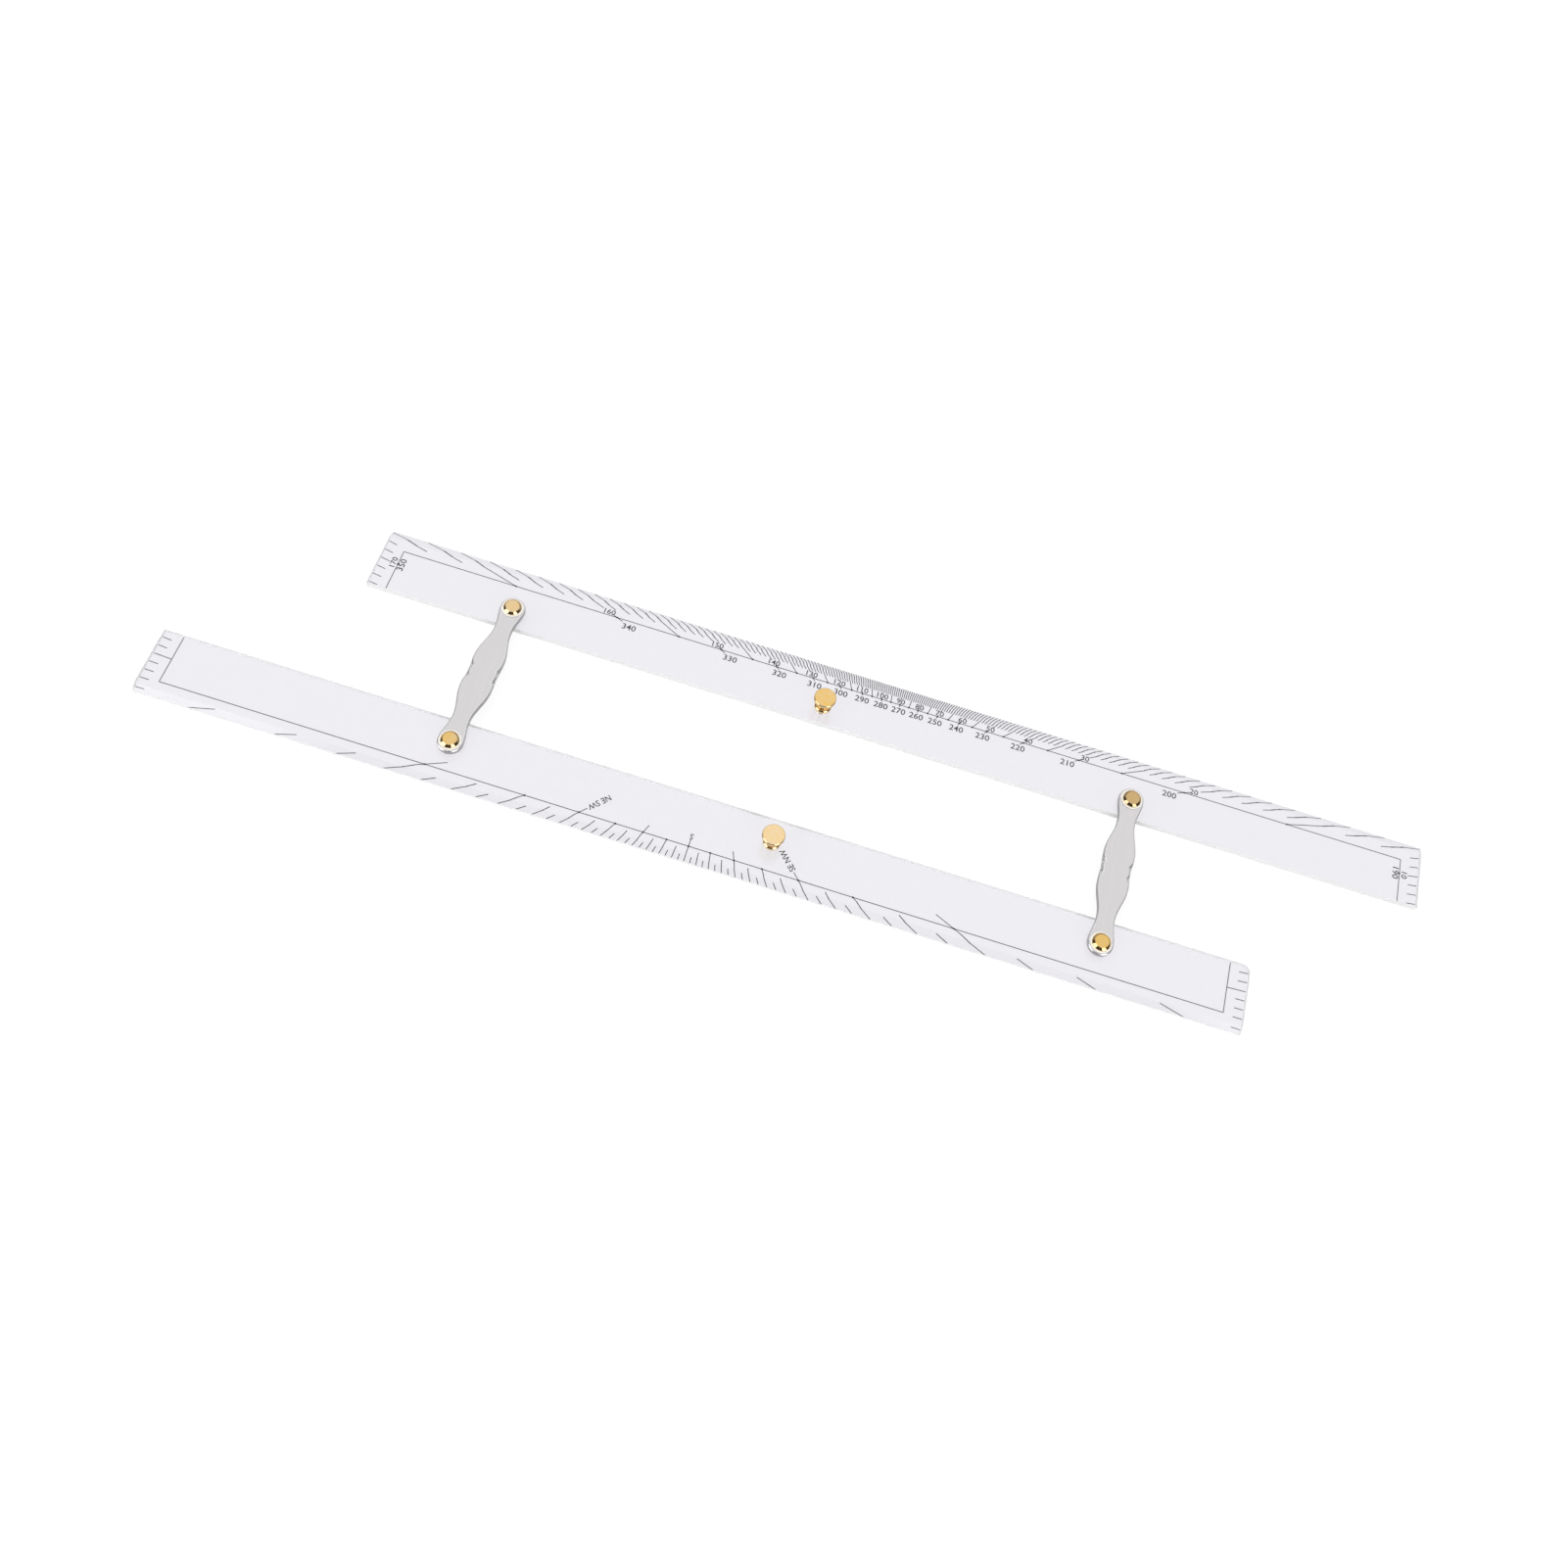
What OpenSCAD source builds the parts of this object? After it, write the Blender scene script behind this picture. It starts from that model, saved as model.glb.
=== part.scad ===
// Parallel rule: two clear straightedges joined by two swinging arms.
// The row origin is the middle of the open rule, on the table it lies on.
// X runs along the blades, Y from the near blade to the far blade, Z up.

/* [Blades] */
// Length of each blade
blade_len = 380; // [280:1:460]
// Width of each blade
blade_w = 24; // [20:0.5:40]
// Thickness of each blade
blade_t = 2.5; // [2:0.1:4]
// Width of the slope along each ruling edge
bevel_w = 3; // [1:0.1:5]
// Thickness left at each ruling edge
ruling_edge_t = 1; // [0.5:0.1:1.5]
// Radius of the near blade's one rounded inner corner
corner_r = 3; // [1:0.1:5]

/* [Pivot layout] */
// Distance between the two pivots of one blade
pivot_span = 224.5; // [160:0.1:260]
// Pivot line of the far blade from its inner edge
far_inset = 6.3; // [5.2:0.1:9]
// Pivot line of the near blade from its inner edge
near_inset = 8.9; // [5.2:0.1:10]
// Gap left between the blades when they are folded together
closed_gap = 0.3; // [0.1:0.1:1]
// Lean of the arms from square in the open rule, in degrees
open_lean = 1.2; // [-5:0.01:5]

/* [Arms] */
// Distance between the two pivots of an arm
arm_len = 55.3; // [48:0.1:70]
// Thickness of an arm
arm_t = 1.6; // [1:0.1:3]
// Radius of the round eye at each end
eye_r = 4.4; // [4.2:0.1:5]
// Width of the narrow neck
neck_w = 6.2; // [5:0.1:7.5]
// Width of the two swells
swell_w = 10.7; // [9:0.1:13]
// Width of the small bead between the swells
bead_w = 9.6; // [8:0.1:10]
// Width across the cusps on each side of the bead
cusp_w = 8.3; // [6:0.1:9]
// Distance of the cusps from the arm's middle
cusp_at = 2.15; // [1.5:0.05:3.5]
// Distance from the arm's middle at which the notches run out
notch_at = 4.6; // [4:0.1:6]
// Distance from the arm's middle at which the swells start to narrow
swell_at = 6.2; // [6:0.1:8]
// Distance of the necks from the arm's middle
neck_at = 18.5; // [14:0.1:20]
// Depth of the notches beside the bead, from the arm's top
notch_h = 1; // [0.4:0.1:1.1]
// Width of the arm's middle below the notches
flank_w = 10.2; // [10:0.1:10.6]

/* [Pivot studs] */
// Diameter of the stud's head
head_d = 6.3; // [5.5:0.1:8]
// Height of the stud's head
head_h = 1; // [0.9:0.1:2]
// Width of the head's polished rim
head_rim_w = 0.8; // [0.4:0.1:0.9]
// Slope of the rim where it meets the flat top, in degrees
rim_top_slope = 30; // [25:1:40]
// Slope of the rim at its outer edge, in degrees
rim_edge_slope = 50; // [45:1:55]
// Diameter of the shoulder that the arm turns on
shoulder_d = 4; // [3.5:0.1:5]
// Outer diameter of the thrust washer under the head
washer_d = 7.4; // [6:0.1:9]
// Thickness of the thrust washer
washer_t = 0.25; // [0.2:0.05:0.6]
// Outer diameter of the spacer between blade and arm
spacer_d = 8; // [6:0.1:9]
// Thickness of the spacer
spacer_t = 0.5; // [0.3:0.05:1]

/* [Knobs] */
// Height of a knob above its blade
knob_h = 7; // [6:0.1:10]
// Diameter of the knob's flat head
knob_d = 7.7; // [7:0.1:10]
// Thickness of the knob's head at its rim
knob_rim_h = 1.3; // [1:0.1:1.8]
// Radius round the top of the knob's head
knob_edge_r = 0.4; // [0.2:0.05:0.7]
// Diameter of the bead at the knob's foot
foot_d = 6; // [5.2:0.1:6.8]
// Height of the bead at the knob's foot
foot_h = 1.8; // [1.4:0.1:2.4]
// Diameter of the waist between foot and head
waist_d = 4.2; // [3.4:0.1:4.8]
// Diameter at which the waist flares into the underside of the head
flare_d = 5.8; // [5:0.1:6.6]
// Distance of each knob from the middle of its blade
knob_at = 25.75; // [10:0.25:60]

/* [Screws] */
// Thread diameter of the screws from the underside
screw_d = 2; // [1.6:0.1:2.2]
// Diameter of the countersunk screw head
screw_head_d = 3.8; // [3.4:0.1:4.2]
// Length of thread that reaches into a stud or a knob
screw_grip = 2.6; // [1.8:0.1:2.8]
// Width of the screwdriver slot
slot_w = 0.5; // [0.4:0.05:0.7]
// Depth of the screwdriver slot
slot_h = 0.5; // [0.3:0.05:0.6]

/* [Clearances] */
// Radial running clearance of an arm on its shoulder
run_gap = 0.05; // [0.02:0.01:0.09]
// Radial clearance at the last pivot of the closed linkage
free_gap = 0.09; // [0.02:0.01:0.1]
// Play above and below an arm
side_play = 0.05; // [0.02:0.01:0.1]
// Radial clearance of a screw in its thread
thread_gap = 0.02; // [0.01:0.01:0.05]
// Space left past the end of a screw in its blind hole
thread_end_gap = 0.2; // [0.1:0.05:0.3]
// Radial clearance of a screw through its blade
screw_gap = 0.1; // [0.05:0.01:0.2]
// Depth of the screw heads below the underside
screw_sink = 0.1; // [0.05:0.05:0.2]

/* [Hidden] */

$fn = 64;
acrylic = [0.90, 0.91, 0.94, 0.55];
aluminium = [0.84, 0.84, 0.85];
brass = [0.89, 0.75, 0.45];
nylon = [0.95, 0.93, 0.90];

// Linkage: the arms reach from the far pivots to the near pivots.
arm_dx = arm_len * sin(open_lean);
arm_dy = arm_len * cos(open_lean);
closed_dy = far_inset + near_inset + closed_gap;
closed_dx = sqrt(arm_len * arm_len - closed_dy * closed_dy);
// The blade ends line up when the rule is closed, so they are apart when it is open.
open_shift = closed_dx + arm_dx;
overall_w = 2 * blade_w - far_inset - near_inset + arm_dy;
far_y = overall_w / 2 - (blade_w - far_inset);
near_y = far_y - arm_dy;

// Pivots along each blade, measured from the blade's middle.
pivot_left = -(pivot_span + closed_dx) / 2;
pivot_right = (pivot_span - closed_dx) / 2;

// Heights of the pivot stack.
arm_z = blade_t + spacer_t + side_play;
washer_z = arm_z + arm_t + side_play;
head_z = washer_z + washer_t;

screw_head_h = (screw_head_d - screw_d) / 2;
countersink_d = screw_head_d + 2 * screw_gap;
// How far a cutter reaches past the face that it opens.
past = 1;

// Points of an arc from angle a to angle b.
function arc(cx, cy, rx, ry, a, b, steps) =
    [for (i = [0 : steps]) let (t = a + (b - a) * i / steps) [cx + rx * cos(t), cy + ry * sin(t)]];

// Half width of an arm's top at distance u from its middle.
function top_half(u) =
    u < cusp_at ? (cusp_w + (bead_w - cusp_w) * cos(90 * u / cusp_at)) / 2 :
    u < notch_at ? (cusp_w + (swell_w - cusp_w) * sin(90 * (u - cusp_at) / (notch_at - cusp_at))) / 2 :
    flank_half(u);

// Half width of an arm below its notches at distance u from its middle.
function flank_half(u) =
    u < notch_at ? (flank_w + (swell_w - flank_w) * ease(u / notch_at)) / 2 :
    u < swell_at ? swell_w / 2 :
    u < neck_at ? (neck_w + (swell_w - neck_w) * ease(1 - (u - swell_at) / (neck_at - swell_at))) / 2 :
    neck_w / 2 + (eye_r - neck_w / 2) * ease((u - neck_at) / (arm_len / 2 - neck_at));

// Smooth step from 0 to 1.
function ease(t) = (1 - cos(180 * t)) / 2;

// Evenly spaced values from a up to b, without b itself.
function spread(a, b, steps) = [for (i = [0 : steps - 1]) a + (b - a) * i / steps];

// Straight steps in each stretch of an arm's outline, and in a quarter of a turned profile.
bead_steps = 6;
swell_steps = 8;
taper_steps = 16;
flare_steps = 12;
eye_steps = 36;
quarter_steps = 8;

// Distances from the arm's middle at which its outline has points.
arm_steps = concat(
    spread(0, cusp_at, bead_steps),
    spread(cusp_at, notch_at, swell_steps),
    spread(notch_at, swell_at, 1),
    spread(swell_at, neck_at, taper_steps),
    spread(neck_at, arm_len / 2, flare_steps)
);

// Half widths of an arm at those distances, at its top and below its notches.
top_halves = [for (u = arm_steps) top_half(u)];
flank_halves = [for (u = arm_steps) flank_half(u)];

// One long side of an arm between its eyes, from the far pivot to the near pivot.
function arm_side(halves) = concat(
    [for (i = [len(arm_steps) - 1 : -1 : 0]) [halves[i], -arm_len / 2 + arm_steps[i]]],
    [for (i = [1 : len(arm_steps) - 1]) [halves[i], -arm_len / 2 - arm_steps[i]]]
);

// Arm outline in its own frame: far pivot at the origin, near pivot straight down Y.
module arm_outline(halves) {
    side = arm_side(halves);
    polygon(concat(
        arc(0, 0, eye_r, eye_r, 180, 0, eye_steps),
        side,
        arc(0, -arm_len, eye_r, eye_r, 0, -180, eye_steps),
        [for (i = [len(side) - 1 : -1 : 0]) [-side[i][0], side[i][1]]]
    ));
}

// Arm with a bored eye at each end, and notches cut down from its top beside the bead.
module arm(near_gap) {
    color(aluminium)
    translate([0, 0, arm_z])
    rotate([0, 0, -open_lean])
    difference() {
        union() {
            linear_extrude(arm_t - notch_h) arm_outline(flank_halves);
            linear_extrude(arm_t) arm_outline(top_halves);
        }
        eye_bore(run_gap);
        translate([0, -arm_len, 0]) eye_bore(near_gap);
    }
}

module eye_bore(gap) {
    translate([0, 0, -past]) cylinder(h = arm_t + 2 * past, d = shoulder_d + 2 * gap);
}

// Blade in its own frame: middle of its length, pivot line on X, outer edge towards +Y.
module blade(inset, pivots, knob_x) {
    color(acrylic)
    difference() {
        rotate([90, 0, 90])
        linear_extrude(blade_len, center = true)
        polygon([
            [-inset, 0],
            [blade_w - inset, 0],
            [blade_w - inset, ruling_edge_t],
            [blade_w - inset - bevel_w, blade_t],
            [-inset, blade_t]
        ]);
        for (x = concat(pivots, knob_x)) translate([x, 0, 0]) screw_hole();
    }
}

// Countersunk hole through a blade, open at its underside.
module screw_hole() {
    translate([0, 0, -past]) cylinder(h = blade_t + 2 * past, d = screw_d + 2 * screw_gap);
    translate([0, 0, -past]) cylinder(h = past + screw_sink, d = countersink_d);
    translate([0, 0, screw_sink])
    cylinder(h = screw_head_h, d1 = countersink_d, d2 = screw_d + 2 * screw_gap);
}

// Cutter that rounds the inner corner at a blade's left end.
module corner_cut(inset) {
    translate([-blade_len / 2, -inset, -past])
    linear_extrude(blade_t + 2 * past)
    difference() {
        translate([-past, -past]) square(corner_r + past);
        translate([corner_r, corner_r]) circle(r = corner_r);
    }
}

// Stud with a flat top, a sloping rim and a shoulder that stands on the blade.
module stud() {
    color(brass)
    difference() {
        union() {
            translate([0, 0, blade_t]) cylinder(h = head_z - blade_t + head_h / 2, d = shoulder_d);
            translate([0, 0, head_z]) rotate_extrude() stud_head_profile();
        }
        thread_hole(blade_t);
    }
}

// The rim is a slight curve that gets steeper from the flat top to its outer edge.
module stud_head_profile() {
    edge_at = 90 - rim_edge_slope;
    top_at = 90 - rim_top_slope;
    bow_r = head_rim_w / (cos(edge_at) - cos(top_at));
    polygon(concat(
        [[0, 0], [head_d / 2, 0]],
        arc(
            head_d / 2 - bow_r * cos(edge_at), head_h - bow_r * sin(top_at),
            bow_r, bow_r, edge_at, top_at, quarter_steps
        ),
        [[0, head_h]]
    ));
}

// Blind hole for a screw that comes from below.
module thread_hole(seat_z) {
    translate([0, 0, seat_z - past])
    cylinder(h = past + screw_grip + thread_end_gap, d = screw_d + 2 * thread_gap);
}

// Ring that lies flat round a stud's shoulder.
module ring(outer_d, thickness, z) {
    color(nylon)
    translate([0, 0, z])
    difference() {
        cylinder(h = thickness, d = outer_d);
        translate([0, 0, -past]) cylinder(h = thickness + 2 * past, d = shoulder_d + 2 * run_gap);
    }
}

// Countersunk slotted screw through a blade.
module screw() {
    color(brass)
    difference() {
        union() {
            translate([0, 0, screw_sink]) cylinder(h = screw_head_h, d1 = screw_head_d, d2 = screw_d);
            translate([0, 0, screw_sink]) cylinder(h = blade_t + screw_grip - screw_sink, d = screw_d);
        }
        translate([-screw_head_d, -slot_w / 2, -past])
        cube([2 * screw_head_d, slot_w, past + screw_sink + slot_h]);
    }
}

// Turned knob with a flat head, a waist and a beaded foot.
module knob() {
    color(brass)
    difference() {
        translate([0, 0, blade_t]) rotate_extrude() knob_profile();
        thread_hole(blade_t);
    }
}

module knob_profile() {
    bead_r = (foot_d - waist_d) / 2;
    cove_h = knob_h - knob_rim_h - foot_h;
    polygon(concat(
        [[0, 0]],
        arc(waist_d / 2, foot_h / 2, bead_r, foot_h / 2, -90, 90, 2 * quarter_steps),
        arc(flare_d / 2, foot_h, (flare_d - waist_d) / 2, cove_h, 180, 90, quarter_steps),
        [[knob_d / 2, knob_h - knob_rim_h]],
        arc(knob_d / 2 - knob_edge_r, knob_h - knob_edge_r, knob_edge_r, knob_edge_r, 0, 90, quarter_steps),
        [[0, knob_h]]
    ));
}

// Puts what belongs to the far blade in its place.
module on_far(x = 0) {
    translate([open_shift / 2 + x, far_y, 0]) children();
}

// Puts what belongs to the near blade in its place, turned half round.
module on_near(x = 0) {
    translate([x - open_shift / 2, near_y, 0]) rotate([0, 0, 180]) children();
}

module far_blade() {
    on_far() blade(far_inset, [pivot_left, pivot_right], -knob_at);
}

module near_blade() {
    on_near() difference() {
        blade(near_inset, [pivot_left, pivot_right], -knob_at);
        corner_cut(near_inset);
    }
}

module left_arm() { on_far(pivot_left) arm(run_gap); }
module right_arm() { on_far(pivot_right) arm(free_gap); }

module spacer() { ring(spacer_d, spacer_t, blade_t); }
module washer() { ring(washer_d, washer_t, washer_z); }

far_blade();
near_blade();
left_arm();
right_arm();
on_far(pivot_left) spacer();  // far_left_spacer
on_far(pivot_right) spacer();  // far_right_spacer
on_near(-pivot_right) spacer();  // near_left_spacer
on_near(-pivot_left) spacer();  // near_right_spacer
on_far(pivot_left) washer();  // far_left_washer
on_far(pivot_right) washer();  // far_right_washer
on_near(-pivot_right) washer();  // near_left_washer
on_near(-pivot_left) washer();  // near_right_washer
on_far(pivot_left) stud();  // far_left_stud
on_far(pivot_right) stud();  // far_right_stud
on_near(-pivot_right) stud();  // near_left_stud
on_near(-pivot_left) stud();  // near_right_stud
on_far(pivot_left) screw();  // far_left_screw
on_far(pivot_right) screw();  // far_right_screw
on_near(-pivot_right) screw();  // near_left_screw
on_near(-pivot_left) screw();  // near_right_screw
on_far(-knob_at) knob();  // far_knob
on_near(knob_at) knob();  // near_knob
on_far(-knob_at) screw();  // far_knob_screw
on_near(knob_at) screw();  // near_knob_screw
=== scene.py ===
import math

import bmesh
import bpy
from mathutils import Matrix, Vector


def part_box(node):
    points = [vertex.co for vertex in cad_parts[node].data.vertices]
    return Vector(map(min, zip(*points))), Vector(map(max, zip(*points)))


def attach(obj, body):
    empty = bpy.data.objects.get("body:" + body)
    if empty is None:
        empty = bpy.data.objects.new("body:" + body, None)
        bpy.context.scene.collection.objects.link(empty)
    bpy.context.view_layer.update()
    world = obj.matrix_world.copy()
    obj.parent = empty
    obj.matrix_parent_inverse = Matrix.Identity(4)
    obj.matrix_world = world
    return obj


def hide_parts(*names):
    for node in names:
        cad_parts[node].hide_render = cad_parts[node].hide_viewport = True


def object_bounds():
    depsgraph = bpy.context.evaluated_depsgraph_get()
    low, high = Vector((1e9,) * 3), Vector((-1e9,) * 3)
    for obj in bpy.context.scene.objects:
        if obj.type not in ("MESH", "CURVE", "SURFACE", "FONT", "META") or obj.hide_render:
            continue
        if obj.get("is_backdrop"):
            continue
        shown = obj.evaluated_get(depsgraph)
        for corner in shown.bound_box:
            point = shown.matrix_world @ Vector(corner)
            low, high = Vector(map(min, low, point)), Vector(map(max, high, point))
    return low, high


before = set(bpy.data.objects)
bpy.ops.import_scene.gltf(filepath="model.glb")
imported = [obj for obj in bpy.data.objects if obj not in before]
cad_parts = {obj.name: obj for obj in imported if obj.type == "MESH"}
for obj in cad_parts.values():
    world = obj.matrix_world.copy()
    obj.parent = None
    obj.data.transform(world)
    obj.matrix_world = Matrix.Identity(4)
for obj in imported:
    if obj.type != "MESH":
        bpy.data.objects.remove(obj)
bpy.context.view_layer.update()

# The rule lies open on a white table, lit by soft boxes and by the pale walls of the studio.
# The camera looks down on it at the photograph's angle.
CAMERA_AT = (0.003066, -0.227369, 0.439245)
CAMERA_HEADING = math.radians(1.6604)
CAMERA_HEIGHT = math.radians(63.1855)
CAMERA_ROLL = math.radians(15.7443)
CAMERA_LENS = 33.284
CAMERA_NEAR = 0.01
SENSOR_WIDTH = 36
TABLE_SIZE = 6
TABLE_BELOW = 0.0002
TABLE_WHITE = (0.94, 0.94, 0.94, 1)
TABLE_GLOW = 0.86
GLOW_SEEN = 1.02
GLOW_MIRRORED = 0.7
SOFT_BOXES = {
    "left_soft_box": {"place": (-0.5, -0.62, 0.42), "size": 0.34, "energy": 1.1},
    "right_soft_box": {"place": (0.5, -0.62, 0.42), "size": 0.34, "energy": 1.1},
    "top_soft_box": {"place": (-0.25, 0.35, 1.1), "size": 0.9, "energy": 4},
}
ROOM_DARK = 0.06
BACK_WALL = 0.36
BACK_EDGE = (0.15, 0.5)
CEILING_TOWARDS = (0, 0.454, 0.891)
CEILING_BRIGHT = 0.95
CEILING_EDGE = (0.62, 0.78)
PANEL_BRIGHT = 2.2
PANEL_TOP = 0.85
PANELS = ((-76, -34), (31, 67))
PANEL_BLUR = math.radians(3)


def put(tree, kind, inputs=None, **settings):
    """Adds a node with its settings, and links or sets each of its inputs."""
    node = tree.nodes.new(kind)
    for name, value in settings.items():
        setattr(node, name, value)
    for name, value in (inputs or {}).items():
        if isinstance(value, bpy.types.NodeSocket):
            tree.links.new(value, node.inputs[name])
        else:
            node.inputs[name].default_value = value
    return node


def sum_of(tree, operation, first, second=0.0, third=0.0):
    """The result of one sum on two or three values."""
    return put(tree, "ShaderNodeMath", {0: first, 1: second, 2: third}, operation=operation).outputs[0]


def step(tree, value, edge):
    """Rises softly from 0 to 1 as the value crosses the edge."""
    return put(
        tree, "ShaderNodeMapRange", {"Value": value, "From Min": edge[0], "From Max": edge[1]},
        interpolation_type="SMOOTHSTEP",
    ).outputs[0]


def between(tree, share, low, high):
    """The value between two values."""
    return put(tree, "ShaderNodeMapRange", {"Value": share, "To Min": low, "To Max": high}).outputs[0]


def table_finish():
    """White table that keeps soft shadows."""
    made = bpy.data.materials.new("white_table")
    made.use_nodes = True
    tree = made.node_tree
    tree.nodes.remove(tree.nodes["Principled BSDF"])
    card = put(tree, "ShaderNodeBsdfDiffuse", {"Color": TABLE_WHITE})
    path = put(tree, "ShaderNodeLightPath").outputs
    through = sum_of(tree, "MAXIMUM", path["Is Camera Ray"], path["Is Transmission Ray"])
    level = between(tree, through, GLOW_MIRRORED, GLOW_SEEN)
    glow = put(tree, "ShaderNodeEmission", {"Color": (1, 1, 1, 1), "Strength": level})
    seen = sum_of(tree, "MAXIMUM", through, path["Is Glossy Ray"])
    share = sum_of(tree, "MULTIPLY", seen, TABLE_GLOW)
    mixed = put(tree, "ShaderNodeMixShader", {0: share, 1: card.outputs[0], 2: glow.outputs[0]})
    tree.links.new(mixed.outputs[0], tree.nodes["Material Output"].inputs["Surface"])
    return made


def inside(tree, value, low, high, blur):
    """1 where the value lies between two edges, which are blurred."""
    above = step(tree, value, (low - blur, low + blur))
    below = step(tree, sum_of(tree, "MULTIPLY", value, -1.0), (-high - blur, -high + blur))
    return sum_of(tree, "MULTIPLY", above, below)


def studio_room():
    """White sheet overhead, two tall panels before the rule, a grey wall behind it, and dark between."""
    world = bpy.data.worlds.new("studio")
    world.use_nodes = True
    tree = world.node_tree
    tree.nodes.remove(tree.nodes["Background"])
    way = put(tree, "ShaderNodeTexCoord").outputs["Generated"]
    axis = put(tree, "ShaderNodeSeparateXYZ", {0: way}).outputs
    overhead = put(tree, "ShaderNodeVectorMath", {0: way, 1: CEILING_TOWARDS}, operation="DOT_PRODUCT")
    sheet = sum_of(tree, "MULTIPLY", step(tree, overhead.outputs["Value"], CEILING_EDGE), CEILING_BRIGHT)
    ahead = sum_of(tree, "MULTIPLY", axis["Y"], -1.0)
    heading = sum_of(tree, "ARCTAN2", axis["X"], ahead)
    sides = [inside(tree, heading, *map(math.radians, edges), PANEL_BLUR) for edges in PANELS]
    upright = inside(tree, axis["Z"], 0, PANEL_TOP, PANEL_BLUR)
    panels = sum_of(tree, "MULTIPLY", sum_of(tree, "ADD", *sides), upright)
    pale = sum_of(tree, "MULTIPLY_ADD", panels, PANEL_BRIGHT, sheet)
    behind = between(tree, step(tree, axis["Y"], BACK_EDGE), ROOM_DARK, BACK_WALL)
    level = sum_of(tree, "MAXIMUM", pale, behind)
    walls = put(tree, "ShaderNodeBackground", {"Color": (1, 1, 1, 1), "Strength": level})
    backdrop = put(tree, "ShaderNodeBackground", {"Color": (1, 1, 1, 1), "Strength": 1})
    path = put(tree, "ShaderNodeLightPath").outputs
    seen = sum_of(tree, "MAXIMUM", path["Is Camera Ray"], path["Is Transmission Ray"])
    shown = put(tree, "ShaderNodeMixShader", {0: seen, 1: walls.outputs[0], 2: backdrop.outputs[0]})
    tree.links.new(shown.outputs[0], tree.nodes["World Output"].inputs["Surface"])
    return world


def soft_box(name, place, size, energy):
    """Square area lamp turned to the middle of the rule. The room's panels stand for it in reflections."""
    lamp = bpy.data.lights.new(name, "AREA")
    lamp.size = size
    lamp.energy = energy
    box = bpy.data.objects.new(name, lamp)
    box.location = place
    box.rotation_euler = Vector(place).to_track_quat("Z", "Y").to_euler()
    box.visible_camera = False
    box.visible_glossy = False
    box.visible_transmission = False
    bpy.context.scene.collection.objects.link(box)


def shown_object(name, mesh):
    """A bmesh as an object in the scene."""
    data = bpy.data.meshes.new(name)
    mesh.to_mesh(data)
    mesh.free()
    made = bpy.data.objects.new(name, data)
    bpy.context.scene.collection.objects.link(made)
    return made


scene = bpy.context.scene
scene.view_settings.view_transform = "Standard"
scene.world = studio_room()
camera_data = bpy.data.cameras.new("camera")
camera_data.lens = CAMERA_LENS
camera_data.sensor_width = SENSOR_WIDTH
camera_data.clip_start = CAMERA_NEAR
camera = bpy.data.objects.new("camera", camera_data)
camera.matrix_world = (
    Matrix.Translation(CAMERA_AT)
    @ Matrix.Rotation(CAMERA_HEADING, 4, "Z")
    @ Matrix.Rotation(math.pi / 2 - CAMERA_HEIGHT, 4, "X")
    @ Matrix.Rotation(CAMERA_ROLL, 4, "Z")
)
scene.collection.objects.link(camera)
scene.camera = camera

table_mesh = bmesh.new()
bmesh.ops.create_grid(
    table_mesh, x_segments=1, y_segments=1, size=TABLE_SIZE / 2,
    matrix=Matrix.Translation((0, 0, -TABLE_BELOW)),
)
table = shown_object("table", table_mesh)
table.data.materials.append(table_finish())
table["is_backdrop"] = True
for box_name, box in SOFT_BOXES.items():
    soft_box(box_name, **box)


# Two clear straightedges, sawn from cast acrylic sheet, with a slope planed along each ruling edge.
# The faces keep the sheet's polish with a few hairlines, and the sawn edges are scraped satin.
BLADES = {"far_blade": "far_rule", "near_blade": "near_rule"}
SCREWS = [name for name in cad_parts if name.endswith("_screw")]
MERGE = 1e-7
FLAT = math.radians(0.05)
SHARP = math.radians(20)
EASED = 0.00012
EASED_STEPS = 2
RIDGE = 0.0008
RIDGE_STEPS = 6
HOLE_REACH = 0.0025
STANDING = 0.5
ACRYLIC_TINT = (0.84, 0.828, 0.868, 1)
ACRYLIC_IOR = 1.49
TRAPPED_AFTER = 1.5
LINE_DETAIL = 4
LINE_ROUGH = 0.7
LINE_EDGE = (0.35, 0.7)
MOTTLE_SCALE = 0.4
MOTTLE_DETAIL = 3
MOTTLE_EDGE = (0.3, 0.7)
POLISH = (0.0, 0.006)
HAIRLINE_SCALE = 900
HAIRLINE_STRETCH = (0.06, 1, 1)
HAIRLINE_BUMP = 0.02
HAIRLINE_DEPTH = 0.00002
SAWN_DARK = (0.74, 0.74, 0.745, 1)
SAWN_PALE = (0.82, 0.82, 0.825, 1)
SAWN_CLEAR = 0.1
SAWN_ROUGH = 0.9
SAWN_SCALE = 2600
SAWN_STRETCH = (1, 1, 0.05)
SAWN_BUMP = 0.05
SAWN_DEPTH = 0.00002


def group_socket(group, name, kind, way):
    """A named socket of a node group."""
    group.interface.new_socket(name=name, in_out=way, socket_type="NodeSocket" + kind)


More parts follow.
